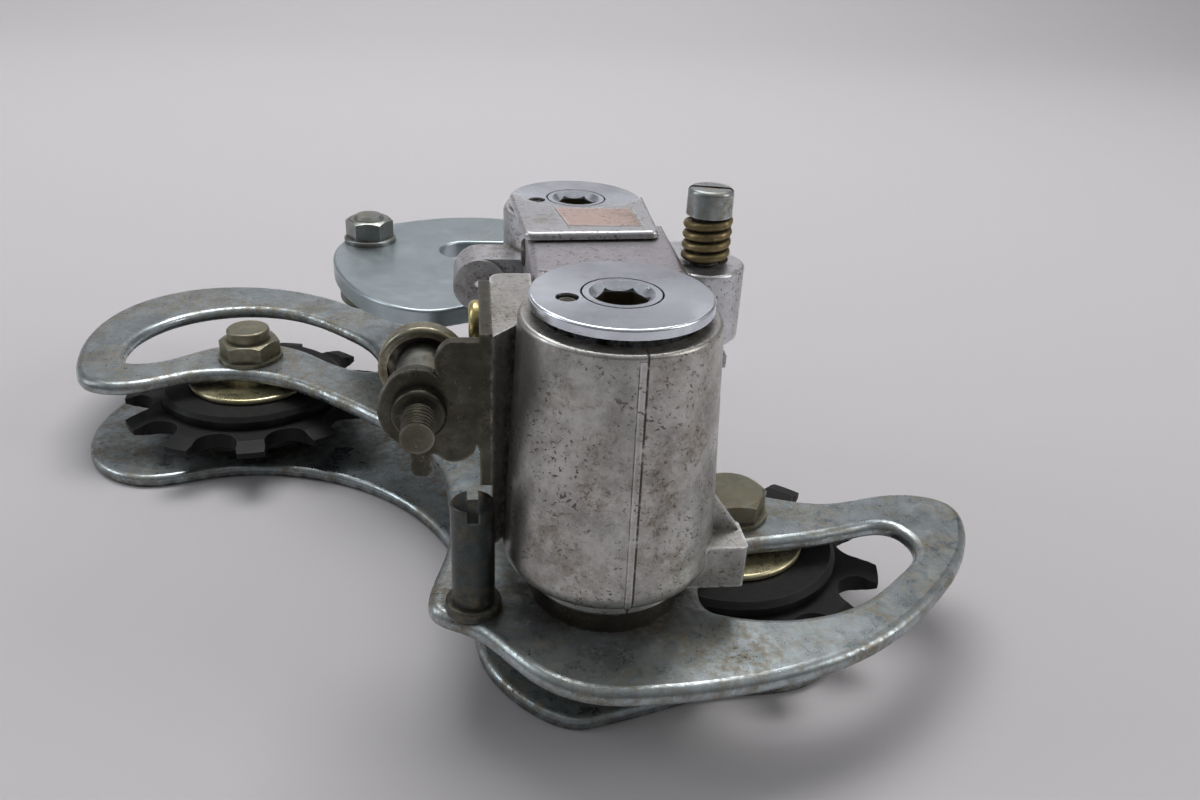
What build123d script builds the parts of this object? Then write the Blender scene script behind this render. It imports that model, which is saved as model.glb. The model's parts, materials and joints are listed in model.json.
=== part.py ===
"""Long-cage rear derailleur with a claw hanger.

Millimetres. +Z points outboard, +Y from the cage pivot up to the mounting pivot, +X to the front of
the bicycle. The origin is the wheel axle's centre on the hanger's inboard face. The derailleur is in
its outermost gear with no chain, so the cage rests against the lower knuckle.
"""
from build123d import *
import math
import os

# ---------------------------------------------------------------- driving dimensions
# hanger
hanger_thickness = 3.2
axle_radius = 5.1
hanger_eye = (18.8, -23.9)          # mounting pivot from the wheel axle
eye_radius = 11.5
dropout_bolt_at = (-19.0, 5.4)
dropout_bolt_radius = 3.0
dropout_gap = 7.0                   # room for the frame's dropout under the hanger
dropout_nut_across = 8.0
dropout_nut_height = 3.6
dropout_washer_radius = 5.0
dropout_washer_thickness = 1.0

# pivots
pivot_spacing = 56.5
spring_bore = 8.86                  # inside radius of both knuckles
pivot_bolt_radius = 5.0
pivot_head_radius = 4.8
hex_across = 6.0
cap_radius = 11.2
cap_thickness = 1.3
cap_spigot = 3.0
wire_radius = 1.1
coil_radius = 6.9
running_fit = 0.05
collar_flange = 1.4
collar_spigot = 5.0

# upper knuckle
upper_radius = 12.3
upper_height = 14.6
upper_cap_gap = 0.2

# lower knuckle
lower_top_radius = 12.4
lower_foot_radius = 14.3
lower_height = 35.1
lower_cap_gap = 1.3
foot_ring_radius = 10.9
foot_ring_height = 2.1
foot_round = 3.2
seam_width = 0.8
seam_height = 0.22
slab_left = -15.4
slab_back = 19.3

# parallelogram
link_length = 24.5
lower_pin_y = 15.5                  # pins behind the lower pivot axis
outer_pin_z = 16.7
link_spread = 15.0
pin_radius = 2.2
link_end_radius = 4.4
link_wall = 1.6
outer_link_x = (-9.5, 12.5)         # outside faces, from the pivot line
inner_link_x = (-7.3, 10.3)
link_gap = 0.35
open_pivot_fit = 0.12                # clearance where the closed linkage is opened

# limit screws
screw_radius = 2.0
screw_head_radius = 3.3
screw_head_height = 3.9
screw_slot_width = 1.0
screw_slot_depth = 1.4
screw_spring_height = 7.6
high_screw_at = (16.2, -13.0)       # x from the pivot line, y from the links' upper pins
low_screw_at = (21.0, 5.4)
high_ear_radius = 5.3
high_ear_thickness = 11.2
low_ear_radius = 4.6
low_ear_thickness = 7.2
high_ear_rise = 3.0                 # ears' tops from the outer pin
low_ear_drop = 3.6
tab_top_drop = 10.8                 # stop tab's top below the outer pin
tab_thickness = 2.0
tab_reach = (15.4, 8.6)             # stop tab's near and far edges in front of the upper pins

# tongue, badge and housing stop on the upper knuckle
tongue_thickness = 1.1
badge_depth = 0.35
housing_stop_at = (-16.4, 9.4)      # x from the pivot line, height
housing_radius = 2.6
housing_depth = 6.2
housing_wall = 1.8
housing_stop_back = 4.1             # stop's mouth, in front of the mounting pivot
cable_hole_radius = 1.0

# cage
ring_to_plate = 3.2                 # foot ring's foot down to the outer plate
outer_plate_thickness = 2.4
cage_gap = 12.1
inner_plate_thickness = 2.2
rolled_edge = 1.35
underside_edge = 0.7
pulley_head_across = 10.0
pulley_head_height = 4.0
tension_tip_rise = 2.2              # plain end standing on the tension pulley bolt's head
guide_at = (21.6, 17.1)             # pulleys, from the lower pivot axis
tension_at = (-61.0, 75.0)
pulley_teeth = 11
chain_pitch = 12.7
roller_radius = 3.97
pulley_width = 7.6
tooth_width = 2.8
pulley_core_radius = 17.3
bushing_radius = 4.0
pulley_bolt_radius = 2.5
dust_cap_radius = 12.0
dust_cap_thickness = 0.8
post_radius = 2.8
post_at = (-17.9, -3.9)
post_height = 16.6
post_tenon_radius = 1.6
post_foot_rim = 0.9
post_foot_height = 1.5
post_slot_width = 1.4
post_slot_depth = 1.6

# cable clamp
clamp_bolt_at = (-24.1, 11.7)       # x from the lower pivot axis, height
clamp_bolt_radius = 2.0
clamp_wall = 1.5
clamp_tab_y = -3.0
clamp_bolt_across = 7.0
clamp_head_height = 2.8
clamp_tail = 6.8                    # bolt's end in front of the tab
rivet_radius = 1.6
rivet_head_radius = 2.7
rivet_y = 8.6
rivet_z = (18.4, 4.6)
slab_to_wing = 0.02                 # hairline between cheek and clamp
clamp_washer_y = 8.2                # washer's front edge, from the lower pivot axis
clamp_washer_radius = 5.8

# ---------------------------------------------------------------- places that follow
UPPER = hanger_eye
LOWER = (UPPER[0], UPPER[1] - pivot_spacing)
inner_pin_z = outer_pin_z - link_spread
upper_pin_y = lower_pin_y + link_length
upper_foot_z = hanger_thickness + collar_flange + 0.2
upper_rim_z = upper_foot_z + upper_height
lower_rim_z = outer_pin_z + 6.4
lower_foot_z = lower_rim_z - lower_height
foot_ring_z = lower_foot_z - foot_ring_height
plate_top_z = foot_ring_z - ring_to_plate
plate_foot_z = plate_top_z - outer_plate_thickness
inner_top_z = plate_foot_z - cage_gap
inner_foot_z = inner_top_z - inner_plate_thickness
pulley_mid_z = plate_foot_z - cage_gap / 2
high_ear_top = outer_pin_z + high_ear_rise
low_ear_top = outer_pin_z - low_ear_drop
high_ear_foot = high_ear_top - high_ear_thickness
low_ear_foot = low_ear_top - low_ear_thickness
tab_top_z = outer_pin_z - tab_top_drop
link_top_rise = link_end_radius + 0.1
pin_boss_radius = link_end_radius - 0.2
outer_boss_x = (outer_link_x[0] + link_wall + link_gap, outer_link_x[1] - link_wall - link_gap)
inner_boss_x = (inner_link_x[0] + link_wall + link_gap, inner_link_x[1] - link_wall - link_gap)
web_y = (lower_pin_y + 4.2, upper_pin_y - 4.6)
tongue_foot_z = outer_pin_z + link_top_rise + link_gap
tongue_top_z = tongue_foot_z + tongue_thickness
shank_radius = pivot_bolt_radius - 0.5
stop_end_y = pivot_spacing - housing_stop_back
HIGH_SCREW = (high_screw_at[0], upper_pin_y + high_screw_at[1])
LOW_SCREW = (low_screw_at[0], upper_pin_y + low_screw_at[1])


# ---------------------------------------------------------------- plain shapes
def cyl(at, radius, z0, z1):
    return Pos(at[0], at[1], (z0 + z1) / 2) * Cylinder(radius, z1 - z0)


def cyl_x(y, z, radius, x0, x1):
    return Pos((x0 + x1) / 2, y, z) * Rot(0, 90, 0) * Cylinder(radius, x1 - x0)


def cyl_y(x, z, radius, y0, y1):
    return Pos(x, (y0 + y1) / 2, z) * Rot(90, 0, 0) * Cylinder(radius, y1 - y0)


def block(x0, x1, y0, y1, z0, z1):
    return Pos((x0 + x1) / 2, (y0 + y1) / 2, (z0 + z1) / 2) * Box(x1 - x0, y1 - y0, z1 - z0)


def prism(face, z0, z1):
    return Pos(0, 0, z0) * extrude(face, z1 - z0)


def hexagon(at, across, z0, z1):
    return Pos(at[0], at[1], 0) * prism(RegularPolygon(across / 2, 6, major_radius=False), z0, z1)


def hex_nut(at, across, z0, z1):
    """Hexagon with its top corners turned off."""
    corner = across / math.sqrt(3)
    blank = cyl(at, corner, z0, z1)
    blank = chamfer(rim_edges(blank, z1), 0.5, 0.9)
    return hexagon(at, across, z0, z1) & blank


def spline_face(points):
    """A flat face inside one smooth closed curve."""
    return make_face(Spline(*points, periodic=True))


def polygon(points):
    return make_face(Polyline(*points, close=True))


def from_lower(solid):
    """Moves a shape drawn from the lower pivot axis to its place."""
    return Pos(LOWER[0], LOWER[1], 0) * solid


def from_upper(solid):
    return Pos(UPPER[0], UPPER[1], 0) * solid


def coil(radius, wire, turns, pitch):
    path = Helix(pitch, pitch * turns, radius)
    section = Plane(origin=path @ 0, z_dir=path % 0) * Circle(wire)
    return sweep(section, path=path, is_frenet=True)


def rim_edges(solid, z):
    return solid.edges().filter_by_position(Axis.Z, z - 0.01, z + 0.01)


# ---------------------------------------------------------------- pivots, one set for each knuckle
def pivot_cap(top_z, rim_z):
    """Chromed disc pressed into a knuckle's mouth; it holds the spring's upper end."""
    disc = cyl((0, 0), cap_radius, top_z - cap_thickness, top_z)
    disc = fillet(rim_edges(disc, top_z), 0.35)
    cap = disc + cyl((0, 0), spring_bore, rim_z - cap_spigot, top_z - cap_thickness)
    cap -= cyl((0, 0), pivot_head_radius + running_fit, top_z - 4, top_z + 1)
    cap -= cyl((0, 0), pivot_bolt_radius + running_fit, rim_z - cap_spigot - 1, top_z)
    cap -= cyl(spring_tip_at(), wire_radius + 0.3, rim_z - cap_spigot - 1, top_z + 1)
    return cap


def spring_tip_at():
    """Where the spring's upper end stands in the cap's small hole."""
    turn = math.radians(180 + 13)
    return (coil_radius * math.cos(turn), coil_radius * math.sin(turn))


def pivot_bolt(top_z, foot_z):
    """Shaft with a flush head and a countersunk hexagon socket."""
    head = cyl((0, 0), pivot_head_radius, top_z - 4, top_z)
    shank = cyl((0, 0), shank_radius, foot_z, top_z - 3)
    bolt = head + shank
    bolt -= hexagon((0, 0), hex_across, top_z - 4.5, top_z + 1)
    bolt -= Pos(0, 0, top_z - 0.45) * Cone(hex_across / 2 + 0.1, hex_across / 2 + 1.05, 0.95)
    return bolt


def pivot_collar(flange_z, flange_height, flange_radius):
    """Flanged steel seat: its spigot is the knuckle's lower bearing and its groove takes the spring."""
    collar = cyl((0, 0), flange_radius, flange_z, flange_z + flange_height)
    top_z = flange_z + flange_height + collar_spigot
    collar += cyl((0, 0), spring_bore - running_fit, flange_z, top_z)
    groove = cyl((0, 0), coil_radius + wire_radius + 0.3, top_z - 2, top_z + 1)
    groove -= cyl((0, 0), coil_radius - wire_radius - 0.3, top_z - 2, top_z + 1)
    collar -= groove
    collar -= cyl((0, 0), shank_radius, flange_z - 1, top_z + 1)
    return collar


def pivot_spring(foot_z, top_z, turns, tip_z):
    """Torsion spring: the coil, and a straight tip up through the cap's small hole."""
    pitch = (top_z - foot_z) / turns
    body = Pos(0, 0, foot_z) * coil(coil_radius, wire_radius, turns, pitch)
    tip = cyl((coil_radius, 0), wire_radius * 0.95, top_z - wire_radius / 2, tip_z)
    return Rot(0, 0, 180 + 13) * (body + tip)


# ---------------------------------------------------------------- hanger side
def hanger_bracket():
    """Stamped claw: pivot eye, wide plate, axle slot open to the front and hook over the axle."""
    ex, ey = UPPER
    r = eye_radius
    claw = spline_face([
        (ex, ey - r), (ex + r * 0.7, ey - r * 0.7), (ex + r, ey), (ex + r * 0.7, ey + r * 0.8),
        (ex, ey + r + 9), (ex - 2.5, ey + 30), (ex - 3.5, ey + 40), (ex - 12, ey + 45),
        (ex - 28, ey + 43.5), (ex - 40, ey + 35), (ex - 44, ey + 22), (ex - 40, ey + 6),
        (ex - 33, ey - 4.0), (ex - 24, ey - 7.4), (ex - 15, ey - 4.4), (ex - r * 0.8, ey - r * 0.6),
    ])
    claw -= Circle(axle_radius) + Pos(20, 0) * Rectangle(40, 2 * axle_radius)
    mouth = claw.vertices().sort_by(Axis.X).filter_by(lambda v: v.X > ex - 12 and abs(v.Y) < axle_radius + 1)
    claw = fillet(mouth, 2.5)
    plate = prism(claw, 0, hanger_thickness)
    plate = fillet(rim_edges(plate, hanger_thickness), 0.5)
    stop = block(ex - 16.8, ex - 13.2, ey - 4.0, ey + 0.5, 0.5, hanger_thickness + 2.8)
    plate = plate + stop
    plate -= cyl(UPPER, shank_radius, -1, hanger_thickness + 1)
    plate -= cyl(dropout_bolt_at, dropout_bolt_radius + 0.2, -1, hanger_thickness + 1)
    return plate


def dropout_bolt():
    """Round-headed bolt from the inboard side; the frame's dropout sits between head and hanger."""
    top = hanger_thickness + dropout_washer_thickness + dropout_nut_height + 0.7
    head = cyl(dropout_bolt_at, 6.5, -dropout_gap - 2.5, -dropout_gap)
    head = fillet(rim_edges(head, -dropout_gap - 2.5), 1.2)
    bolt = head + cyl(dropout_bolt_at, dropout_bolt_radius, -dropout_gap - 1, top)
    return chamfer(rim_edges(bolt, top), 0.6)


def dropout_nut():
    foot = hanger_thickness + dropout_washer_thickness
    top = foot + dropout_nut_height
    return hex_nut(dropout_bolt_at, dropout_nut_across, foot, top) - cyl(
        dropout_bolt_at, dropout_bolt_radius, foot - 1, top + 1)


def dropout_washer():
    top = hanger_thickness + dropout_washer_thickness
    washer = cyl(dropout_bolt_at, dropout_washer_radius, hanger_thickness, top)
    washer = fillet(rim_edges(washer, top), dropout_washer_thickness * 0.4)
    return washer - cyl(dropout_bolt_at, dropout_bolt_radius + 0.2, 0, top + 1)


# ---------------------------------------------------------------- upper knuckle
def upper_knuckle():
    """Cast body: spring housing, pivot block, tongue over the link, screw ear and housing stop."""
    axis_y = pivot_spacing
    body = Pos(0, axis_y, upper_foot_z) * extrude(Circle(upper_radius), upper_height)
    body = fillet(rim_edges(body, upper_rim_z), 0.8)
    back = axis_y - spring_bore - 1.6
    for z, span in ((outer_pin_z, outer_boss_x), (inner_pin_z, inner_boss_x)):
        body += cyl_x(upper_pin_y, z, pin_boss_radius, span[0], span[1])
        body += block(span[0], span[1], upper_pin_y, back, z - pin_boss_radius, z + pin_boss_radius)
    body += block(inner_boss_x[0], inner_boss_x[1], upper_pin_y - 2.6, back - 2.5, inner_pin_z, outer_pin_z)
    # tongue that covers the link's rear end
    tip_left, tip_right = upper_pin_y - 8.6, upper_pin_y - 7.0
    tongue = polygon([(-10.0, tip_left), (10.4, tip_right), (10.8, axis_y - 4), (-11.4, axis_y - 4)])
    tongue = fillet(tongue.vertices().sort_by(Axis.Y)[:2], 1.5)
    tongue = prism(tongue, tongue_foot_z, tongue_top_z)
    body += fillet(rim_edges(tongue, tongue_top_z).sort_by(Axis.Y)[:-1], tongue_thickness * 0.6)
    body += block(outer_boss_x[0], outer_boss_x[1], upper_pin_y, back, outer_pin_z, tongue_foot_z + 0.5)
    # ear for the two limit screws, outside the link's right cheek
    hx, hy = HIGH_SCREW
    lx, ly = LOW_SCREW
    ear_left = outer_link_x[1] + link_gap
    cheek_end = upper_pin_y + link_end_radius + 0.4
    boss = fillet(rim_edges(cyl((0, 0), high_ear_radius, high_ear_foot, high_ear_top), high_ear_top), 0.5)
    ear = Pos(hx, hy, 0) * boss + Pos(hx + 1.0, hy + 1.2, 0) * boss
    ear += block(ear_left, hx + 4.6, hy, upper_pin_y + 0.5, high_ear_foot, high_ear_top - 1)
    ear += cyl((lx, ly), low_ear_radius, low_ear_foot, low_ear_top)
    ear += block(ear_left, lx, hy + 8, ly, high_ear_foot, low_ear_top)
    ear += block(7, lx, cheek_end, axis_y - 6.5, low_ear_foot, low_ear_top)
    ear -= block(ear_left - 6, ear_left, 0, cheek_end, -30, 60)
    body += ear
    # housing stop on the left
    sx, sz = housing_stop_at
    stop_radius = housing_radius + housing_wall
    stop_start = stop_end_y - housing_depth - 1.8
    stop = cyl_y(sx, sz, stop_radius, stop_start, stop_end_y)
    stop += block(sx, -9, stop_start + 0.6, stop_end_y, sz - stop_radius, sz + stop_radius)
    body += stop
    # bores and clearances
    body -= Pos(0, axis_y, 0) * cyl((0, 0), spring_bore, -30, 60)
    body -= Pos(0, axis_y, 0) * cyl((0, 0), eye_radius + 0.4, -30, upper_foot_z)
    body -= Pos(0, axis_y, 0) * cyl((0, 0), cap_radius + 0.3, upper_rim_z, 60)
    for z in (outer_pin_z, inner_pin_z):
        body -= cyl_x(upper_pin_y, z, pin_radius, -30, outer_link_x[1] + 0.3)
    body -= cyl((hx, hy), screw_radius + running_fit, -30, 60)
    body -= cyl((lx, ly), screw_radius + running_fit, -30, 60)
    body -= cyl_y(sx, sz, housing_radius, stop_end_y - housing_depth, stop_end_y + 1)
    body -= cyl_y(sx, sz, cable_hole_radius, stop_start - 1, stop_end_y)
    # slot that the return spring's coil turns in
    body -= cyl_x(upper_pin_y, inner_pin_z, 5.2, -2.2, 5.2)
    # seat for the badge
    body -= Pos(0, 0, tongue_top_z - badge_depth) * extrude(badge_outline(0.1), 2)
    return from_lower(body)


def badge_outline(clearance):
    c = clearance
    near, far = upper_pin_y - 4.8 - c, upper_pin_y + 4.6 + c
    return polygon([(-3.2 - c, near), (8.2 + c, near + 0.4), (7.6 + c, far), (-4.6 - c, far)])


def badge_plate():
    foot = tongue_top_z - badge_depth
    return from_lower(prism(badge_outline(0.0), foot, foot + badge_depth + 0.05))


def link_pin(y, z, x0, x1):
    pin = cyl_x(y, z, pin_radius, x0, x1)
    ends = pin.faces().filter_by(GeomType.PLANE).edges()
    return from_lower(chamfer(ends, 0.4))


def limit_screw(at, ear_top, tip_z):
    """Slotted cheese-head screw; its tip is the stop for the link's tab."""
    head_z = ear_top + screw_spring_height
    top = head_z + screw_head_height
    head = cyl(at, screw_head_radius, head_z, top)
    head = fillet(rim_edges(head, top), 0.7)
    half = screw_slot_width / 2
    slot = Rot(0, 0, -12) * block(-5, 5, -half, half, top - screw_slot_depth, top + 1)
    head -= Pos(at[0], at[1], 0) * slot
    shank = cyl(at, screw_radius, tip_z, head_z + 0.1)
    return from_lower(head + shank)


def limit_spring(at, ear_top):
    wire = 0.65
    turns = 4
    height = screw_spring_height - 2 * wire - 0.1
    body = coil(screw_radius + 0.25 + wire, wire, turns, height / turns)
    return from_lower(Pos(at[0], at[1], ear_top + wire + 0.05) * body)


# ---------------------------------------------------------------- links
def link_channel(span, pin_z, lower_fit):
    """Folded channel: a web on top and two cheeks with round ends about the pins."""
    x0, x1 = span
    r = link_end_radius
    top = pin_z + link_top_rise
    shape = block(x0, x1, web_y[0], web_y[1], top - link_wall, top)
    for left in (x0, x1 - link_wall):
        right = left + link_wall
        shape += block(left, right, lower_pin_y, upper_pin_y, pin_z - r, pin_z + r)
        for y in (lower_pin_y, upper_pin_y):
            shape += cyl_x(y, pin_z, r, left, right)
        shape += block(left, right, web_y[0], web_y[1], pin_z, top)
    long_edges = shape.edges().filter_by(Axis.Y).filter_by_position(Axis.Z, top - 0.01, top + 0.01)
    shape = fillet(long_edges.sort_by(Axis.X)[0], 1.2)
    long_edges = shape.edges().filter_by(Axis.Y).filter_by_position(Axis.Z, top - 0.01, top + 0.01)
    shape = fillet(long_edges.sort_by(Axis.X)[-1], 1.2)
    for y, fit in ((lower_pin_y, lower_fit), (upper_pin_y, running_fit)):
        shape -= cyl_x(y, pin_z, pin_radius + fit, x0 - 1, x1 + 1)
    return shape


def outer_link():
    """Outer channel with the tab that meets both limit screws."""
    link = link_channel(outer_link_x, outer_pin_z, running_fit)
    right = outer_link_x[1]
    near, far = upper_pin_y - tab_reach[0], upper_pin_y - tab_reach[1]
    foot = tab_top_z - tab_thickness
    link += block(right - link_wall, right, near, far, foot, outer_pin_z - 3)
    link += block(right - link_wall, low_screw_at[0] - 0.4, near, far, foot, tab_top_z)
    return from_lower(link)


def inner_link():
    return from_lower(link_channel(inner_link_x, inner_pin_z, open_pivot_fit))


def return_spring():
    """Torsion coil about the inner link's upper pin; its arm lifts the link's web from below."""
    wire = 0.75
    turns = 4
    mean = pin_radius + 0.35 + wire
    length = 5.6
    body = Rot(0, 90, 0) * coil(mean, wire, turns, length / turns)
    body = Pos(-1.3, upper_pin_y, inner_pin_z) * body
    arm_z = inner_pin_z + link_top_rise - link_wall - wire - 0.05
    arm = cyl_y(-1.3 + length, arm_z, wire, upper_pin_y - 14, upper_pin_y - mean + wire)
    return from_lower(body + arm)


# ---------------------------------------------------------------- lower knuckle
def lower_knuckle():
    """Tapered cast barrel with a flat left cheek, a pivot block behind and a stop lug in front."""
    taper = Cone(lower_foot_radius, lower_top_radius, lower_height)
    body = Pos(0, 0, (lower_rim_z + lower_foot_z) / 2) * taper
    body = fillet(rim_edges(body, lower_rim_z), 0.6)
    body = fillet(rim_edges(body, lower_foot_z), foot_round)
    # flat cheek on the left, with its ridge in front
    slab_top = outer_pin_z + 4.2
    ridge = polygon([(slab_left, -2.2), (-12.2, 1.8), (-9.8, 6), (-9.8, slab_back), (slab_left, slab_back)])
    ridge = fillet(ridge.vertices().sort_by(Axis.Y)[-1], 2.0)
    slab = prism(ridge, lower_foot_z + foot_round, slab_top)
    body += slab
    # pivot block, hollowed where the inner link's web swings
    middle = block(inner_boss_x[0], inner_boss_x[1], 9.4, lower_pin_y - 1.4, inner_pin_z, outer_pin_z)
    web_swing = math.hypot(web_y[0] - lower_pin_y, link_top_rise) + link_gap
    body += middle - cyl_x(lower_pin_y, inner_pin_z, web_swing, -30, 30)
    for z, span in ((outer_pin_z, outer_boss_x), (inner_pin_z, inner_boss_x)):
        body += cyl_x(lower_pin_y, z, pin_boss_radius, span[0], span[1])
        body += block(span[0], span[1], 9.4, lower_pin_y, z - pin_boss_radius, z + pin_boss_radius)
    # room for the links' round ends
    for z, span in ((outer_pin_z, outer_link_x), (inner_pin_z, inner_link_x)):
        for left in (span[0], span[1] - link_wall):
            body -= cyl_x(lower_pin_y, z, link_end_radius + 0.35, left - link_gap, left + link_wall + link_gap)
    # stop lug for the cage's post, with a sloping rib behind it
    lug_foot = lower_foot_z - 0.6
    lug_top = lug_foot + 6.2
    lug = block(9.5, 17.4, -7.6, -1.5, lug_foot, lug_top)
    lug = fillet(lug.edges().filter_by(Axis.Z).sort_by(Axis.X)[-2:], 0.6)
    rib = Plane.XZ * polygon([(10.5, lug_top - 1), (17.2, lug_top - 1), (17.0, lug_top), (13.0, lug_top + 5.6),
                              (10.5, lug_top + 5.6)])
    lug += Pos(0, -1.5, 0) * extrude(rib, 2.0)
    body += lug
    # foot ring round the lower bearing
    ring = cyl((0, 0), foot_ring_radius, foot_ring_z, lower_foot_z + 1)
    body += fillet(rim_edges(ring, foot_ring_z), 0.5)
    # casting seam down the front
    seam = block(0.5, 0.5 + seam_width, -lower_foot_radius - 1, -10, lower_foot_z, lower_rim_z - 0.7)
    shell = Pos(0, 0, (lower_rim_z + lower_foot_z) / 2) * Cone(
        lower_foot_radius + seam_height, lower_top_radius + seam_height, lower_height)
    shell = fillet(rim_edges(shell, lower_foot_z), foot_round)
    body += seam & shell
    # bores
    body -= cyl((0, 0), spring_bore, foot_ring_z - 1, lower_rim_z + 1)
    body -= Pos(0, 0, lower_rim_z - 0.5) * Cone(spring_bore, spring_bore + 1.2, 1.2)
    for z in (outer_pin_z, inner_pin_z):
        body -= cyl_x(lower_pin_y, z, pin_radius, slab_left + 1.0, 30)
    return from_lower(body)


# ---------------------------------------------------------------- cable clamp
def clamp_bracket():
    """L-shaped stamping: a wing against the knuckle's cheek and a lobed tab that faces forward."""
    x0 = slab_left - clamp_wall - slab_to_wing
    bolt_x, bolt_z = clamp_bolt_at
    wing = block(x0, x0 + clamp_wall, clamp_tab_y, 17.2, 1.0, 21.6)
    wing = fillet(wing.edges().filter_by(Axis.X).sort_by(Axis.Y)[-2:], 3.0)
    lobes = [
        Line((x0 + clamp_wall, 20.6), (x0 - 3.4, 20.6)),
        ThreePointArc((x0 - 3.4, 20.6), (x0 - 5.2, 18.4), (x0 - 4.6, 15.8)),
        ThreePointArc((x0 - 4.6, 15.8), (bolt_x + 1.6, bolt_z + 4.9), (bolt_x - 3.9, bolt_z + 3.0)),
        ThreePointArc((bolt_x - 3.9, bolt_z + 3.0), (bolt_x - 4.6, bolt_z - 2.0), (bolt_x - 2.3, bolt_z - 4.6)),
        ThreePointArc((bolt_x - 2.3, bolt_z - 4.6), (bolt_x, bolt_z - 5.6), (bolt_x + 2.0, bolt_z - 6.2)),
        ThreePointArc((bolt_x + 2.0, bolt_z - 6.2), (bolt_x + 4.4, bolt_z - 7.2), (x0 - 0.4, bolt_z - 4.8)),
        Line((x0 - 0.4, bolt_z - 4.8), (x0 + clamp_wall, 1.0)),
        Line((x0 + clamp_wall, 1.0), (x0 + clamp_wall, 20.6)),
    ]
    tab = Plane.XZ * make_face(Wire(lobes))
    tab = Pos(0, clamp_tab_y + clamp_wall, 0) * extrude(tab, clamp_wall)
    finger = block(bolt_x - 1.3, bolt_x + 1.3, clamp_tab_y, clamp_tab_y + clamp_wall, bolt_z - 9.2, bolt_z - 3)
    finger = fillet(finger.edges().filter_by(Axis.Y).sort_by(Axis.Z)[:2], 1.0)
    bracket = wing + tab + finger
    bracket -= cyl_y(bolt_x, bolt_z, clamp_bolt_radius + 0.1, -20, 20)
    for z in rivet_z:
        bracket -= cyl_x(rivet_y, z, rivet_radius, x0 - 1, x0 + clamp_wall + 1)
    return from_lower(bracket)


def clamp_rivets():
    """Two brass rivets through the wing into the knuckle's cheek."""
    face = slab_left - clamp_wall - slab_to_wing
    rivets = []
    for z in rivet_z:
        head = cyl_x(rivet_y, z, rivet_head_radius, face - 1.3, face)
        outside = head.faces().sort_by(Axis.X)[0].edges()
        head = fillet(outside, 0.9)
        rivets.append(from_lower(head + cyl_x(rivet_y, z, rivet_radius, face - 0.5, slab_left)))
    return Compound(rivets)


def clamp_bolt():
    x, z = clamp_bolt_at
    seat = clamp_washer_y + 3.0
    shank = cyl_y(x, z, clamp_bolt_radius, clamp_tab_y - clamp_tail, seat + 1.0)
    hexagon_face = RegularPolygon(clamp_bolt_across / 2, 6, major_radius=False)
    head = Pos(x, seat + clamp_head_height, z) * Rot(90, 0, 0) * extrude(hexagon_face, clamp_head_height)
    return from_lower(shank + head)


def clamp_washer():
    """Large dished washer that grips the cable."""
    x, z = clamp_bolt_at
    near = clamp_washer_y
    washer = cyl_y(x, z, clamp_washer_radius, near, near + 2.95)
    washer = fillet(washer.faces().filter_by(GeomType.PLANE).edges(), 0.7)
    washer -= cyl_y(x, z, clamp_washer_radius - 1.2, near - 1, near + 1.6)
    return from_lower(washer - cyl_y(x, z, clamp_bolt_radius + 0.1, near - 1, near + 5))


def clamp_collar():
    x, z = clamp_bolt_at
    back = clamp_washer_y + 1.6
    collar = cyl_y(x, z, 3.4, clamp_tab_y + clamp_wall, back)
    return from_lower(collar - cyl_y(x, z, clamp_bolt_radius + 0.1, -5, back + 1))


def clamp_nut():
    x, z = clamp_bolt_at
    nut = cyl_y(x, z, 3.3, clamp_tab_y - 1.6, clamp_tab_y)
    nut = fillet(nut.faces().sort_by(Axis.Y)[0].edges(), 0.6)
    return from_lower(nut - cyl_y(x, z, clamp_bolt_radius, -12, 12))


# ---------------------------------------------------------------- cage
def cage_outer_plate():
    """Stamped plate with an open loop round each pulley, drawn from the lower pivot axis."""
    outline = spline_face([
        (0, -21.3), (18, -19.9), (35, -13.8), (48.5, -3.0), (57.6, 9.5), (58.6, 18.2), (52, 21.4),
        (38, 19.4), (24, 23.8), (8, 31), (-6, 52), (-22, 80), (-34.3, 93.4), (-44.8, 103.1),
        (-57, 110.9), (-71, 113.7), (-83.5, 110.2), (-92, 100.6), (-95, 86), (-92.8, 72),
        (-88.4, 64.4), (-80.2, 63.2), (-71, 67.4), (-62, 68.2), (-52.4, 64.6), (-43.8, 58),
        (-33.5, 48.2), (-24.4, 36), (-21.6, 22), (-21.9, 9), (-23.6, 1.5), (-23.4, -4.2),
        (-18.6, -7.6), (-14.4, -12), (-8.6, -18.4),
    ])
    guide_hole = spline_face([
        (14.8, -6.6), (25.7, -8.2), (35, -5.6), (43.4, 0.8), (48.0, 7.4), (46.6, 11.6), (39.0, 11.2),
        (31.0, 9.4), (24.5, 8.6), (18.0, 7.2), (13.6, 0.8),
    ])
    tension_hole = spline_face([
        (-84.6, 74.4), (-85.2, 84), (-79.6, 94.4), (-67.7, 99.8), (-54.4, 96.8), (-44.6, 88.4),
        (-36.8, 76.4), (-36.6, 68.8), (-42.4, 70.6), (-50.4, 77.6), (-61, 82.2), (-71.5, 78.6),
        (-79.6, 73.2),
    ])
    plate = prism(outline - guide_hole - tension_hole, plate_foot_z, plate_top_z)
    plate = fillet(rim_edges(plate, plate_top_z), rolled_edge)
    plate = fillet(rim_edges(plate, plate_foot_z), underside_edge)
    plate -= cyl((0, 0), shank_radius, plate_foot_z - 1, plate_top_z + 1)
    for at in (guide_at, tension_at):
        plate -= cyl(at, pulley_bolt_radius, plate_foot_z - 1, plate_top_z + 1)
    plate -= cyl(post_at, post_tenon_radius, plate_foot_z - 1, plate_top_z + 1)
    return from_lower(plate)


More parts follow.
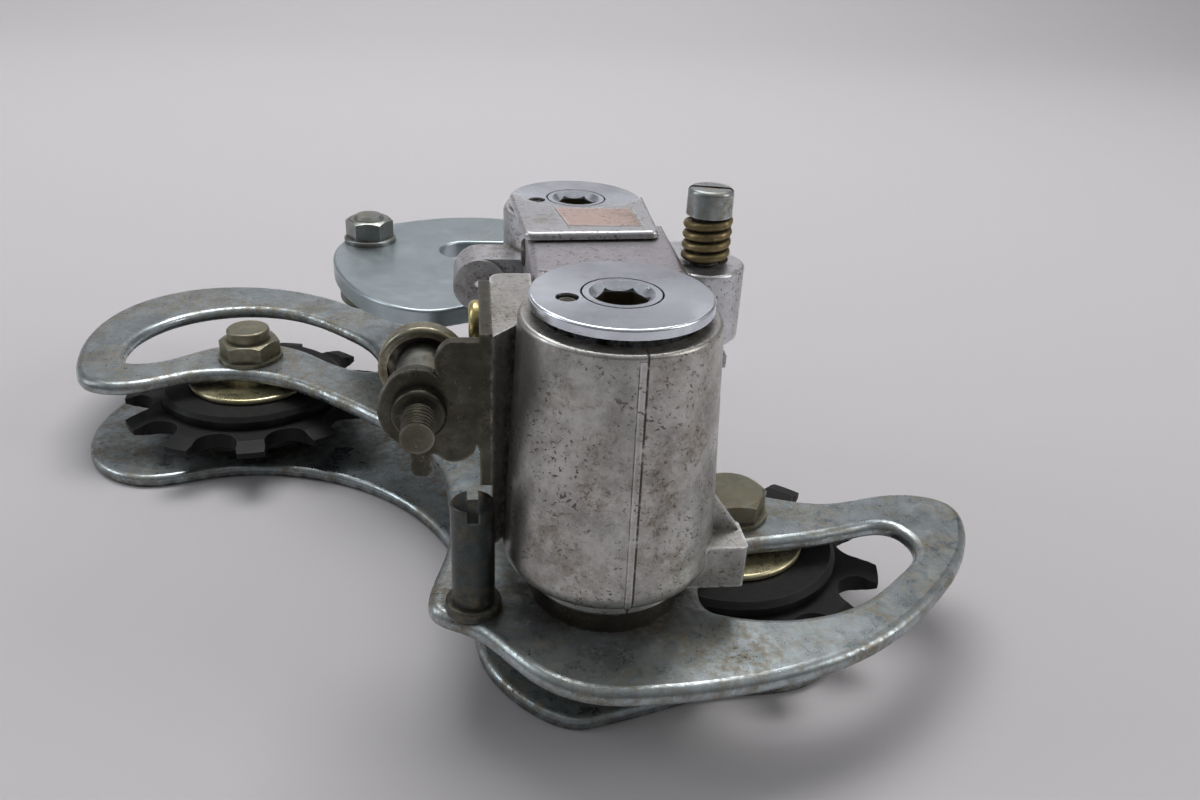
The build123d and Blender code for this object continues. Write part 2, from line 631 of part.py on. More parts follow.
def cage_inner_plate():
    """Stamped inner plate: a lobe under each pulley joined by a narrow curved arm."""
    outline = spline_face([
        (-2, -10.6), (6.5, -8.4), (16, -6), (30, -4.6), (38.5, 5), (39, 20), (31, 33), (16, 38),
        (2, 42), (-10, 56), (-22, 72), (-36, 86), (-50, 98), (-66, 102), (-80, 97), (-89.5, 85),
        (-91.8, 72), (-87.4, 59.6), (-78.4, 54), (-66, 56.4), (-50, 56), (-38.5, 51),
        (-28.5, 42), (-21.6, 30), (-18.4, 16), (-17, 3.5), (-11.6, -6),
    ])
    plate = prism(outline, inner_foot_z, inner_top_z)
    plate = fillet(rim_edges(plate, inner_top_z), 0.9)
    plate = fillet(rim_edges(plate, inner_foot_z), 0.6)
    for at in (guide_at, tension_at):
        plate -= cyl(at, pulley_bolt_radius, inner_foot_z - 1, inner_top_z + 1)
    return from_lower(plate)


def cage_stop_post():
    """Post riveted to the outer plate, with a screwdriver slot across its top."""
    top = plate_top_z + post_height
    post = cyl(post_at, post_radius, plate_top_z, top)
    post = fillet(rim_edges(post, top), 0.5)
    foot_top = plate_top_z + post_foot_height
    foot = cyl(post_at, post_radius + post_foot_rim, plate_top_z, foot_top)
    post += fillet(rim_edges(foot, foot_top), 0.5)
    post += cyl(post_at, post_tenon_radius, plate_foot_z, plate_top_z + 1)
    x, y = post_at
    half = post_slot_width / 2
    post -= block(x - half, x + half, y - 5, y + 5, top - post_slot_depth, top + 1)
    return from_lower(post)


def pulley_bolt(at, tip_rise=0.0):
    """Hexagon bolt through the outer plate, threaded into the inner one."""
    top = plate_top_z + pulley_head_height
    head = hex_nut(at, pulley_head_across, plate_top_z, top)
    head += cyl(at, pulley_head_across * 0.6, plate_top_z, plate_top_z + 0.8)
    if tip_rise > 0:
        tip = cyl(at, pulley_head_across * 0.4, top - 0.5, top + tip_rise)
        head += fillet(rim_edges(tip, top + tip_rise), 0.5)
    shank = cyl(at, pulley_bolt_radius, inner_foot_z, plate_top_z + 1)
    return from_lower(head + shank)


def pulley_bushing(at):
    sleeve = cyl(at, bushing_radius, inner_top_z, plate_foot_z)
    return from_lower(sleeve - cyl(at, pulley_bolt_radius, inner_top_z - 1, plate_foot_z + 1))


def dust_cap(at, side):
    """Dished washer beside a pulley; side is +1 outboard and -1 inboard."""
    half = pulley_width / 2 + 0.25
    near = pulley_mid_z + side * half
    far = near + side * dust_cap_thickness
    z0, z1 = min(near, far), max(near, far)
    cap = cyl(at, dust_cap_radius, z0, z1)
    hub_far = pulley_mid_z + side * cage_gap / 2
    cap += cyl(at, 6.4, min(near, hub_far), max(near, hub_far))
    outer_z = z1 if side > 0 else z0
    rim = rim_edges(cap, outer_z).filter_by(lambda e: abs(e.radius - dust_cap_radius) < 0.01)
    cap = fillet(rim, 0.5)
    return from_lower(cap - cyl(at, bushing_radius, z0 - 5, z1 + 5))


def pulley(at):
    """Toothed chain wheel with a wide core and windows between its spokes."""
    step = 360 / pulley_teeth
    pitch_radius = chain_pitch / 2 / math.sin(math.radians(step / 2))
    tip_radius = pitch_radius + 1.8
    rim = Circle(tip_radius)
    mouth = polygon([(pitch_radius, -roller_radius), (tip_radius + 3, -roller_radius - 2.0),
                     (tip_radius + 3, roller_radius + 2.0), (pitch_radius, roller_radius)])
    gap = mouth + Pos(pitch_radius, 0) * Circle(roller_radius)
    for i in range(pulley_teeth):
        rim -= Rot(0, 0, i * step) * gap
    teeth = extrude(rim, tooth_width / 2, both=True)
    lens = Cylinder(tip_radius + 0.1, tooth_width)
    teeth &= chamfer(lens.edges().filter_by(GeomType.CIRCLE), 0.9, 3.2)
    core = Cylinder(pulley_core_radius, pulley_width)
    core = chamfer(core.edges().filter_by(GeomType.CIRCLE), 0.8)
    wheel = teeth + core
    wheel -= Cylinder(bushing_radius + running_fit, 20)
    return from_lower(Pos(at[0], at[1], pulley_mid_z) * wheel)


# ---------------------------------------------------------------- write every node
lower_cap_top = lower_rim_z + lower_cap_gap + cap_thickness
upper_cap_top = upper_rim_z + upper_cap_gap + cap_thickness
collar_height = foot_ring_z - plate_top_z - 0.2
lower_collar_top = plate_top_z + collar_height + collar_spigot
upper_collar_top = hanger_thickness + collar_flange + collar_spigot

nodes = {
    "hanger_bracket": hanger_bracket(),
    "mounting_bolt": from_upper(pivot_bolt(upper_cap_top, 0)),
    "upper_pivot_collar": from_upper(pivot_collar(hanger_thickness, collar_flange, 10.6)),
    "dropout_bolt": dropout_bolt(),
    "dropout_nut": dropout_nut(),
    "dropout_washer": dropout_washer(),
    "upper_knuckle": upper_knuckle(),
    "upper_pivot_cap": from_upper(pivot_cap(upper_cap_top, upper_rim_z)),
    "upper_pivot_spring": from_upper(pivot_spring(
        upper_collar_top - 0.6, upper_rim_z - cap_spigot - wire_radius - 0.2, 3, upper_cap_top - 0.4)),
    "badge_plate": badge_plate(),
    "outer_link_upper_pin": link_pin(upper_pin_y, outer_pin_z, outer_link_x[0] - 0.5, outer_link_x[1] + 0.3),
    "inner_link_upper_pin": link_pin(upper_pin_y, inner_pin_z, inner_link_x[0] - 0.5, inner_link_x[1] + 0.5),
    "high_limit_screw": limit_screw(HIGH_SCREW, high_ear_top, tab_top_z + 0.1),
    "low_limit_screw": limit_screw(LOW_SCREW, low_ear_top, outer_pin_z - 12.3),
    "high_limit_spring": limit_spring(HIGH_SCREW, high_ear_top),
    "low_limit_spring": limit_spring(LOW_SCREW, low_ear_top),
    "outer_link": outer_link(),
    "inner_link": inner_link(),
    "return_spring": return_spring(),
    "lower_knuckle": lower_knuckle(),
    "lower_pivot_cap": from_lower(pivot_cap(lower_cap_top, lower_rim_z)),
    "lower_pivot_spring": from_lower(pivot_spring(
        lower_collar_top - 0.6, lower_rim_z - cap_spigot - wire_radius - 0.2, 9, lower_cap_top - 0.4)),
    "outer_link_lower_pin": link_pin(lower_pin_y, outer_pin_z, slab_left + 1.0, outer_link_x[1] + 0.5),
    "inner_link_lower_pin": link_pin(lower_pin_y, inner_pin_z, slab_left + 1.0, inner_link_x[1] + 0.5),
    "cable_clamp_bracket": clamp_bracket(),
    "cable_clamp_rivets": clamp_rivets(),
    "cable_clamp_bolt": clamp_bolt(),
    "cable_clamp_washer": clamp_washer(),
    "cable_clamp_collar": clamp_collar(),
    "cable_clamp_nut": clamp_nut(),
    "cage_outer_plate": cage_outer_plate(),
    "cage_inner_plate": cage_inner_plate(),
    "cage_pivot_bolt": from_lower(pivot_bolt(lower_cap_top, plate_foot_z)),
    "lower_pivot_collar": from_lower(pivot_collar(plate_top_z, collar_height, 10.2)),
    "cage_stop_post": cage_stop_post(),
    "guide_pulley_bolt": pulley_bolt(guide_at),
    "tension_pulley_bolt": pulley_bolt(tension_at, tension_tip_rise),
    "guide_bushing": pulley_bushing(guide_at),
    "tension_bushing": pulley_bushing(tension_at),
    "guide_outer_dust_cap": dust_cap(guide_at, 1),
    "guide_inner_dust_cap": dust_cap(guide_at, -1),
    "tension_outer_dust_cap": dust_cap(tension_at, 1),
    "tension_inner_dust_cap": dust_cap(tension_at, -1),
    "guide_pulley": pulley(guide_at),
    "tension_pulley": pulley(tension_at),
}

os.makedirs("parts", exist_ok=True)
for name, shape in nodes.items():
    export_step(shape, os.path.join("parts", name + ".step"))
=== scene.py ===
"""Rear derailleur lying on its inner cage plate, pivot bolts upright, as it was taken off a bicycle."""
import bpy
import json
import math
from mathutils import Matrix, Vector


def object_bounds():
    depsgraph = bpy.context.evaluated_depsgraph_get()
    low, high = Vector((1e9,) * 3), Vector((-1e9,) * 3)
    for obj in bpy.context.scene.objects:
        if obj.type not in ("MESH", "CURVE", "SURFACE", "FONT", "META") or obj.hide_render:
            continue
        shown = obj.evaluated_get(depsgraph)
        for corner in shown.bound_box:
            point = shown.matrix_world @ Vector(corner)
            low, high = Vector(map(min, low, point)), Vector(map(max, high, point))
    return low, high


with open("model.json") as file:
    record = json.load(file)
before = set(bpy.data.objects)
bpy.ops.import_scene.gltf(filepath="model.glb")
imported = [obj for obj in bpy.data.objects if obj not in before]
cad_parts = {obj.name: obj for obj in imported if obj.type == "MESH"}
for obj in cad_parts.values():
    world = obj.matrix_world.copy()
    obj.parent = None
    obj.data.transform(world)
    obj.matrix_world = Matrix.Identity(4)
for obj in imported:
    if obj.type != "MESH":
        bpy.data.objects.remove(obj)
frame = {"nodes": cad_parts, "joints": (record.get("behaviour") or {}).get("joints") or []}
cad_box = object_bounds()
nodes = frame["nodes"]
places = {joint["name"]: Vector(joint["pos_m"]) for joint in frame["joints"]}
MM = 0.001
cage_axis = places["cage_pivot"]
mounting_axis = places["mounting_pivot"]

# ------------------------------------------------------------------ table, light and camera
# The derailleur lies on a sheet of pale grey paper that curves up behind it. One large soft lamp
# hangs above, one stands at each side, and a fourth lights the paper where it rises.
floor_z = cad_box[0].z


def paper_sheet():
    half_width = 1.6
    front_edge = -1.5
    bend_starts = 0.55
    bend_radius = 0.5
    bend_steps = 16
    top_edge = 2.2
    profile = [(front_edge, floor_z), (bend_starts, floor_z)]
    for i in range(1, bend_steps + 1):
        turn = math.pi / 2 * i / bend_steps
        back = bend_starts + bend_radius * math.sin(turn)
        up = floor_z + bend_radius * (1 - math.cos(turn))
        profile.append((back, up))
    profile.append((bend_starts + bend_radius, floor_z + top_edge))
    verts = [(x, y, z) for x in (-half_width, half_width) for y, z in profile]
    count = len(profile)
    faces = [(i, i + 1, count + i + 1, count + i) for i in range(count - 1)]
    mesh = bpy.data.meshes.new("paper_sheet")
    mesh.from_pydata(verts, [], faces)
    mesh.polygons.foreach_set("use_smooth", [True] * len(faces))
    sheet = bpy.data.objects.new("paper_sheet", mesh)
    bpy.context.scene.collection.objects.link(sheet)
    paper = bpy.data.materials.new("paper")
    paper.use_nodes = True
    shader = paper.node_tree.nodes["Principled BSDF"]
    shader.inputs["Base Color"].default_value = (0.545, 0.53, 0.545, 1)
    shader.inputs["Roughness"].default_value = 0.75
    shader.inputs["Specular IOR Level"].default_value = 0.2
    mesh.materials.append(paper)
    return sheet


paper_sheet()


def soft_light(name, at, aim, width, height, watts, colour):
    lamp = bpy.data.lights.new(name, "AREA")
    lamp.shape = "RECTANGLE"
    lamp.size, lamp.size_y = width, height
    lamp.energy = watts
    lamp.color = colour
    holder = bpy.data.objects.new(name, lamp)
    bpy.context.scene.collection.objects.link(holder)
    holder.location = at
    holder.rotation_euler = (Vector(aim) - Vector(at)).to_track_quat("-Z", "Y").to_euler()


soft_light("overhead", (0.0, 0.30, 0.80), (0, 0, 0), 0.7, 0.45, 4.6, (1.0, 0.99, 0.98))
soft_light("window_left", (-0.8, 0.05, 0.42), (0, 0, 0), 0.25, 0.5, 1.15, (0.90, 0.96, 1.0))
soft_light("paper_light", (0.0, 0.35, 0.95), (0.0, 1.05, 0.50), 0.8, 0.3, 3.8, (0.97, 0.99, 1.0))
soft_light("window_right", (0.75, -0.25, 0.40), (0, 0, 0), 0.3, 0.5, 1.45, (1.0, 0.98, 0.96))

# The room is bright above and behind, and darker on the viewer's side.
room = bpy.data.worlds.new("room")
room.use_nodes = True
air = room.node_tree
where_to = air.nodes.new("ShaderNodeTexCoord")
towards = air.nodes.new("ShaderNodeVectorMath")
towards.operation = "DOT_PRODUCT"
towards.inputs[1].default_value = (0.05, 0.45, 0.75)
air.links.new(where_to.outputs["Generated"], towards.inputs[0])
brightness = air.nodes.new("ShaderNodeMapRange")
brightness.inputs["From Min"].default_value = -0.5
brightness.inputs["From Max"].default_value = 0.85
brightness.inputs["To Min"].default_value = 0.022
brightness.inputs["To Max"].default_value = 0.465
air.links.new(towards.outputs["Value"], brightness.inputs["Value"])
air.links.new(brightness.outputs[0], air.nodes["Background"].inputs["Strength"])
air.nodes["Background"].inputs["Color"].default_value = (0.97, 0.98, 1.0, 1)
bpy.context.scene.world = room

camera = bpy.data.objects.new("camera", bpy.data.cameras.new("camera"))
bpy.context.scene.collection.objects.link(camera)
bpy.context.scene.camera = camera
camera.data.lens = 30
camera.data.sensor_width = 36
camera.data.clip_start = 0.01
heading = Matrix.Rotation(math.radians(-8.13), 4, "Z")
tilt = Matrix.Rotation(math.radians(90 - 27.26), 4, "X")
roll = Matrix.Rotation(math.radians(3.19), 4, "Z")
eye = Matrix.Translation((1.10 * MM, -190.52 * MM, 68.65 * MM))
camera.matrix_world = eye @ heading @ tilt @ roll
bpy.context.scene.view_settings.view_transform = "Standard"


# ------------------------------------------------------------------ hanger
# A stamped steel claw with a dull blue-white zinc coat. The bolt, nut and washer that pinch it in the
# frame's dropout are zinc plated too, and darker with old oil and road dirt.
def put(tree, kind, inputs=None, **options):
    """Adds a shader node. An input takes a number, a colour or another node's output."""
    made = tree.nodes.new("ShaderNode" + kind)
    for option, value in options.items():
        setattr(made, option, value)
    for place, value in (inputs or {}).items():
        if isinstance(value, bpy.types.NodeSocket):
            tree.links.new(value, made.inputs[place])
        else:
            made.inputs[place].default_value = value
    return made


def blended(tree, share, first, second):
    return put(tree, "Mix", {0: share, 6: first, 7: second}, data_type="RGBA").outputs[2]


def combined(tree, operation, first, second=0.0):
    return put(tree, "Math", {0: first, 1: second}, operation=operation, use_clamp=True).outputs[0]


def banded(tree, value, low, high):
    """0 below low and 1 above high, with a soft step between."""
    step = put(tree, "MapRange", {"Value": value, "From Min": low, "From Max": high},
               interpolation_type="SMOOTHSTEP")
    return step.outputs[0]


def scaled(tree, value, times, plus):
    """value x times + plus, which may leave the range 0 to 1."""
    return put(tree, "Math", {0: value, 1: times, 2: plus}, operation="MULTIPLY_ADD").outputs[0]


def ranged(tree, value, low, high):
    """low where the value is 0 and high where it is 1."""
    return put(tree, "MapRange", {"Value": value, "To Min": low, "To Max": high}).outputs[0]


def new_finish(name):
    """A material, with its tree, its shader and the place on the piece."""
    finish = bpy.data.materials.new(name)
    finish.use_nodes = True
    tree = finish.node_tree
    where = put(tree, "TexCoord").outputs["Object"]
    return finish, tree, tree.nodes["Principled BSDF"], where


def cloudy(tree, at, scale, detail=3.0, roughness=0.55):
    return put(tree, "TexNoise", {"Vector": at, "Scale": scale, "Detail": detail,
                                  "Roughness": roughness}).outputs[0]


def stained(tree, at, stains):
    """Spotted patches round points. Each stain is (x, y, z, reach) in millimetres."""
    total = None
    for x, y, z, reach in stains:
        away = put(tree, "VectorMath", {0: at, 1: (x * MM, y * MM, z * MM)}, operation="DISTANCE")
        patch = banded(tree, away.outputs["Value"], reach * MM, 0.25 * reach * MM)
        total = patch if total is None else combined(tree, "MAXIMUM", total, patch)
    ragged = banded(tree, cloudy(tree, at, 330.0, 4.0, 0.7), 0.34, 0.66)
    spots = banded(tree, cloudy(tree, at, 1700.0, 4.0, 0.8), 0.42, 0.60)
    return combined(tree, "MULTIPLY", combined(tree, "MULTIPLY", total, ragged), spots)


def cut_thread(finish, at, along, radius, pitch):
    """A rolled thread about the axis through at that runs along X, Y or Z, out to the radius."""
    tree = finish.node_tree
    shader = tree.nodes["Principled BSDF"]
    where = put(tree, "TexCoord").outputs["Object"]
    away = put(tree, "VectorMath", {0: where, 1: at}, operation="SUBTRACT").outputs[0]
    keep = tuple(0.0 if letter == along else 1.0 for letter in "XYZ")
    across = put(tree, "VectorMath", {0: away, 1: keep}, operation="MULTIPLY").outputs[0]
    radial = put(tree, "VectorMath", {0: across}, operation="LENGTH").outputs["Value"]
    lengthwise = put(tree, "SeparateXYZ", {0: where}).outputs["XYZ".index(along)]
    turns = put(tree, "Math", {0: lengthwise, 1: math.tau / pitch}, operation="MULTIPLY").outputs[0]
    ridges = put(tree, "Math", {0: turns}, operation="SINE").outputs[0]
    inside = banded(tree, radial, radius * 1.12, radius * 1.04)
    height = put(tree, "Math", {0: ridges, 1: inside}, operation="MULTIPLY").outputs[0]
    smooth = shader.inputs["Normal"].links[0].from_socket
    bump = put(tree, "Bump", {"Height": height, "Normal": smooth, "Strength": 1.0, "Distance": 0.25 * MM})
    tree.links.new(bump.outputs[0], shader.inputs["Normal"])


def new_group(name, inputs, outputs):
    """An empty node group. Inputs are name: value, outputs name: kind of socket."""
    group = bpy.data.node_groups.new(name, "ShaderNodeTree")
    for label, value in inputs.items():
        kind = "NodeSocketVector" if isinstance(value, tuple) else "NodeSocketFloat"
        socket = group.interface.new_socket(label, in_out="INPUT", socket_type=kind)
        socket.default_value = value
    for label, kind in outputs.items():
        group.interface.new_socket(label, in_out="OUTPUT", socket_type=kind)
    return group, group.nodes.new("NodeGroupInput"), group.nodes.new("NodeGroupOutput")


def place_group(tree, group, **inputs):
    made = tree.nodes.new("ShaderNodeGroup")
    made.node_tree = group
    for label, value in inputs.items():
        socket = made.inputs[label.replace("_", " ")]
        if isinstance(value, bpy.types.NodeSocket):
            tree.links.new(value, socket)
        else:
            socket.default_value = value
    return made


def make_dirt_and_corner_shade():
    """Brown film in patches, small dark specks that gather in them, and painted shade in inside corners,
    found by ambient occlusion.
    """
    group, given, out = new_group(
        "old dirt and corner shade",
        {"Patch Size": 9.0, "Film": 0.5, "Specks": 0.5, "Corner Reach": 1.2, "Corners": 0.8,
         "Shift": (0.0, 0.0, 0.0)},
        {"Film": "NodeSocketFloat", "Specks": "NodeSocketFloat", "Corners": "NodeSocketFloat"})
    where = put(group, "TexCoord").outputs["Object"]
    moved = put(group, "VectorMath", {0: where, 1: given.outputs["Shift"]}, operation="ADD").outputs[0]
    per_metre = put(group, "Math", {0: 1 / MM, 1: given.outputs["Patch Size"]}, operation="DIVIDE")
    patches = cloudy(group, moved, per_metre.outputs[0], 5.0, 0.62)
    film_start = put(group, "Math", {0: 0.74, 1: given.outputs["Film"]}, operation="SUBTRACT").outputs[0]
    film_full = put(group, "Math", {0: 1.0, 1: given.outputs["Film"]}, operation="SUBTRACT").outputs[0]
    spotted = banded(group, cloudy(group, moved, 700.0, 4.0, 0.7), 0.36, 0.62)
    film = combined(group, "MULTIPLY", banded(group, patches, film_start, film_full), spotted)
    fine = cloudy(group, moved, 2600.0, 2.0, 0.6)
    coarse = cloudy(group, moved, 1150.0, 3.0, 0.7)
    gather = scaled(group, patches, given.outputs["Specks"], -0.27)
    speck_level = put(group, "Math", {0: 0.73, 1: gather}, operation="SUBTRACT").outputs[0]
    speck_full = put(group, "Math", {0: speck_level, 1: 0.05}, operation="ADD").outputs[0]
    fine_specks = banded(group, fine, speck_level, speck_full)
    coarse_specks = banded(group, coarse, speck_level, speck_full)
    specks = combined(group, "MAXIMUM", fine_specks, coarse_specks)
    reach = put(group, "Math", {0: given.outputs["Corner Reach"], 1: MM}, operation="MULTIPLY").outputs[0]
    # Painted shade: this mask rises where ambient occlusion finds an inside corner, broken up by noise.
    shade = put(group, "AmbientOcclusion", {"Distance": reach}, samples=8, only_local=False).outputs["AO"]
    shaded_corners = banded(group, shade, 0.92, 0.35)
    uneven = banded(group, cloudy(group, moved, 420.0, 4.0, 0.6), 0.28, 0.62)
    shaded_corners = combined(group, "MULTIPLY", shaded_corners, uneven)
    corners = combined(group, "MULTIPLY", shaded_corners, given.outputs["Corners"])
    group.links.new(film, out.inputs["Film"])
    group.links.new(specks, out.inputs["Specks"])
    group.links.new(corners, out.inputs["Corners"])
    return group


def make_worn_edges():
    """Where outside corners have been rubbed bright."""
    group, given, out = new_group("worn edges", {"Width": 0.5, "Amount": 1.0}, {"Rubbed": "NodeSocketFloat"})
    width = put(group, "Math", {0: given.outputs["Width"], 1: MM}, operation="MULTIPLY").outputs[0]
    rounded = put(group, "Bevel", {"Radius": width}, samples=6).outputs[0]
    flat = put(group, "NewGeometry").outputs["Normal"]
    agree = put(group, "VectorMath", {0: rounded, 1: flat}, operation="DOT_PRODUCT").outputs["Value"]
    edge = banded(group, agree, 0.995, 0.9)
    where = put(group, "TexCoord").outputs["Object"]
    broken = banded(group, cloudy(group, where, 700.0, 4.0, 0.65), 0.3, 0.6)
    rubbed = combined(group, "MULTIPLY", combined(group, "MULTIPLY", edge, broken), given.outputs["Amount"])
    group.links.new(rubbed, out.inputs["Rubbed"])
    return group


def make_scratches():
    """Short straight scratches in four directions, more of them in some places than in others."""
    group, given, out = new_group("scratches", {"Amount": 0.5, "Shift": (0.0, 0.0, 0.0)},
                                  {"Lines": "NodeSocketFloat"})
    where = put(group, "TexCoord").outputs["Object"]
    moved = put(group, "VectorMath", {0: where, 1: given.outputs["Shift"]}, operation="ADD").outputs[0]
    total = None
    for turn in ((0.3, 0.5, 0.2), (1.1, -0.4, 2.0), (-0.7, 1.3, 1.0), (0.2, -1.2, 2.6)):
        turned = put(group, "Mapping", {"Vector": moved, "Rotation": turn}).outputs[0]
        laid = put(group, "Mapping", {"Vector": turned, "Scale": (0.10, 1.0, 1.0)}).outputs[0]
        streaks = banded(group, cloudy(group, laid, 3600.0, 1.0, 0.4), 0.715, 0.76)
        total = streaks if total is None else combined(group, "MAXIMUM", total, streaks)
    crowded = banded(group, cloudy(group, moved, 160.0, 3.0), 0.38, 0.62)
    lines = combined(group, "MULTIPLY", combined(group, "MULTIPLY", total, crowded), given.outputs["Amount"])
    group.links.new(lines, out.inputs["Lines"])
    return group


dirt_and_corner_shade = make_dirt_and_corner_shade()
worn_edges = make_worn_edges()
scratches = make_scratches()

brown_film = (0.20, 0.155, 0.085, 1)
# Near-black, used for grease specks and for painted shade in corners.
grease_and_shade_black = (0.030, 0.024, 0.018, 1)


def plated_steel(name, bright, dull, rough, film, specks=0.45, reach=2.2, film_colour=brown_film,
                 mottle=7.0, shift=(0.0, 0.0, 0.0), stains=(), worn=None):
    """Zinc plate over steel: a mottled coat, bright where rubbed, stained, with grease specks and painted
    shade darkening the sheltered corners.
    """
    finish, tree, shader, where = new_finish(name)
    moved = put(tree, "VectorMath", {0: where, 1: shift}, operation="ADD").outputs[0]
    dirt = place_group(tree, dirt_and_corner_shade, Patch_Size=10.0, Film=film, Specks=specks, Corner_Reach=reach,
                       Corners=0.9, Shift=shift)
    edges = place_group(tree, worn_edges, Width=0.6, Amount=1.0)
    marks = place_group(tree, scratches, Amount=0.6, Shift=shift)
    mottled = banded(tree, cloudy(tree, moved, 1 / (mottle * MM), 7.0, 0.72), 0.30, 0.78)
    coat = blended(tree, mottled, bright, dull)
    brighter = worn or tuple(min(1.0, c * 1.25 + 0.04) for c in bright[:3]) + (1,)
    rubbed_coat = blended(tree, combined(tree, "MAXIMUM", edges.outputs["Rubbed"], marks.outputs["Lines"]),
                          coat, brighter)
    film_here = dirt.outputs["Film"]
    if stains:
        film_here = combined(tree, "MAXIMUM", film_here, stained(tree, where, stains))
    filmed = blended(tree, combined(tree, "MULTIPLY", film_here, 0.75), rubbed_coat, film_colour)
    # Painted shade: the corner mask darkens the coat towards near-black, together with real grease specks.
    soiled_and_shaded = combined(tree, "MAXIMUM", combined(tree, "MULTIPLY", dirt.outputs["Specks"], 0.85),
                      dirt.outputs["Corners"])
    tree.links.new(blended(tree, soiled_and_shaded, filmed, grease_and_shade_black), shader.inputs["Base Color"])
    film_dirt_and_shade = combined(tree, "MAXIMUM", combined(tree, "MULTIPLY", film_here, 0.6), soiled_and_shaded)
    bare = put(tree, "Math", {0: 1.0, 1: film_dirt_and_shade}, operation="SUBTRACT").outputs[0]
    tree.links.new(ranged(tree, bare, 0.15, 1.0), shader.inputs["Metallic"])
    gloss = put(tree, "MapRange", {"Value": cloudy(tree, moved, 240.0, 5.0, 0.7), "From Min": 0.3,
                                   "From Max": 0.7, "To Min": rough[0], "To Max": rough[1]}).outputs[0]
    tree.links.new(scaled(tree, film_dirt_and_shade, 0.28, gloss), shader.inputs["Roughness"])
    orange_peel = scaled(tree, cloudy(tree, moved, 520.0, 3.0), 0.30, 0.0)
    grain = scaled(tree, cloudy(tree, moved, 2600.0, 2.0), 0.12, orange_peel)
    crust = scaled(tree, soiled_and_shaded, 0.5, grain)
    cut = scaled(tree, marks.outputs["Lines"], -0.25, crust)
    bump = put(tree, "Bump", {"Height": cut, "Strength": 0.35, "Distance": 0.12 * MM})
    tree.links.new(bump.outputs[0], shader.inputs["Normal"])
    return finish


def give(finish, *names):
    for name in names:
        nodes[name].material_slots[0].material = finish


hanger_zinc = plated_steel("hanger zinc", (0.47, 0.54, 0.57, 1), (0.36, 0.42, 0.44, 1), (0.30, 0.44),
                           film=0.20, specks=0.36, mottle=16.0)
give(hanger_zinc, "hanger_bracket")
bolt_zinc = plated_steel("bolt zinc", (0.34, 0.36, 0.35, 1), (0.20, 0.21, 0.19, 1), (0.26, 0.44),
                         film=0.38, shift=(0.03, 0.0, 0.01))
give(bolt_zinc, "dropout_bolt", "dropout_nut", "dropout_washer")


# ------------------------------------------------------------------ pivot bolts and spring caps
# Turned steel with decorative chrome: mirror bright on the flat tops, nicked round the rim. The
# sockets are painted near-black brown below the countersink, painted shade over some oil, and the
# countersinks stay bright from the key.
clear_chrome = (0.88, 0.92, 0.99, 1)
veiled_chrome = (0.70, 0.73, 0.80, 1)
thin_oil = (0.34, 0.29, 0.20, 1)
# Near-black brown, used for chips, specks and painted shade in the sockets.
grime_and_socket_shade = (0.030, 0.022, 0.010, 1)
countersink_depth = 0.7 * MM
socket_radius = 3.9 * MM


def chrome(name, shift, axis, top_z):
    finish, tree, shader, where = new_finish(name)
    moved = put(tree, "VectorMath", {0: where, 1: shift}, operation="ADD").outputs[0]
    dirt = place_group(tree, dirt_and_corner_shade, Patch_Size=6.0, Film=0.22, Specks=0.30, Corner_Reach=2.6, Corners=1.0,
                       Shift=shift)
    marks = place_group(tree, scratches, Amount=0.5, Shift=shift)
    edge = place_group(tree, worn_edges, Width=0.7, Amount=1.0)
    chips = banded(tree, cloudy(tree, moved, 1300.0, 3.0, 0.7), 0.60, 0.66)
    chipped = combined(tree, "MULTIPLY", edge.outputs["Rubbed"], chips)
    veil = banded(tree, cloudy(tree, moved, 210.0, 5.0, 0.6), 0.35, 0.7)
    plate = blended(tree, veil, clear_chrome, veiled_chrome)
    oiled = blended(tree, combined(tree, "MULTIPLY", dirt.outputs["Film"], 0.35), plate, thin_oil)
    away = put(tree, "VectorMath", {0: where, 1: (axis.x, axis.y, 0.0)}, operation="SUBTRACT").outputs[0]
    flat = put(tree, "VectorMath", {0: away, 1: (1.0, 1.0, 0.0)}, operation="MULTIPLY").outputs[0]
    radial = put(tree, "VectorMath", {0: flat}, operation="LENGTH").outputs["Value"]
    height = put(tree, "SeparateXYZ", {0: where}).outputs[2]
    # Painted shade: below the countersink and near the axis the socket is painted near-black, and the corner
    # mask adds more there.
    sunk = banded(tree, height, top_z - countersink_depth, top_z - countersink_depth - 0.5 * MM)
    near_axis = banded(tree, radial, socket_radius, socket_radius - 0.3 * MM)
    socket = combined(tree, "MULTIPLY", sunk, near_axis)
    sunk_shade = combined(tree, "MULTIPLY", dirt.outputs["Corners"], sunk)
    soiled_and_shaded = combined(tree, "MAXIMUM", combined(tree, "MAXIMUM", chipped, dirt.outputs["Specks"]),
                      combined(tree, "MAXIMUM", sunk_shade, socket))
    tree.links.new(blended(tree, soiled_and_shaded, oiled, grime_and_socket_shade), shader.inputs["Base Color"])
    turned = put(tree, "Tangent", direction_type="RADIAL", axis="Z").outputs[0]
    tree.links.new(turned, shader.inputs["Tangent"])
    shader.inputs["Anisotropic"].default_value = 0.75
    tree.links.new(ranged(tree, soiled_and_shaded, 1.0, 0.1), shader.inputs["Metallic"])
    haze = ranged(tree, veil, 0.17, 0.27)
    tree.links.new(scaled(tree, soiled_and_shaded, 0.35, haze), shader.inputs["Roughness"])
    cut = scaled(tree, combined(tree, "MAXIMUM", marks.outputs["Lines"], soiled_and_shaded), -1.0, 0.0)
    bump = put(tree, "Bump", {"Height": cut, "Strength": 0.3, "Distance": 0.05 * MM})
    tree.links.new(bump.outputs[0], shader.inputs["Normal"])
    return finish


def top_of(name):
    piece = nodes[name]
    return max((piece.matrix_world @ vertex.co).z for vertex in piece.data.vertices)


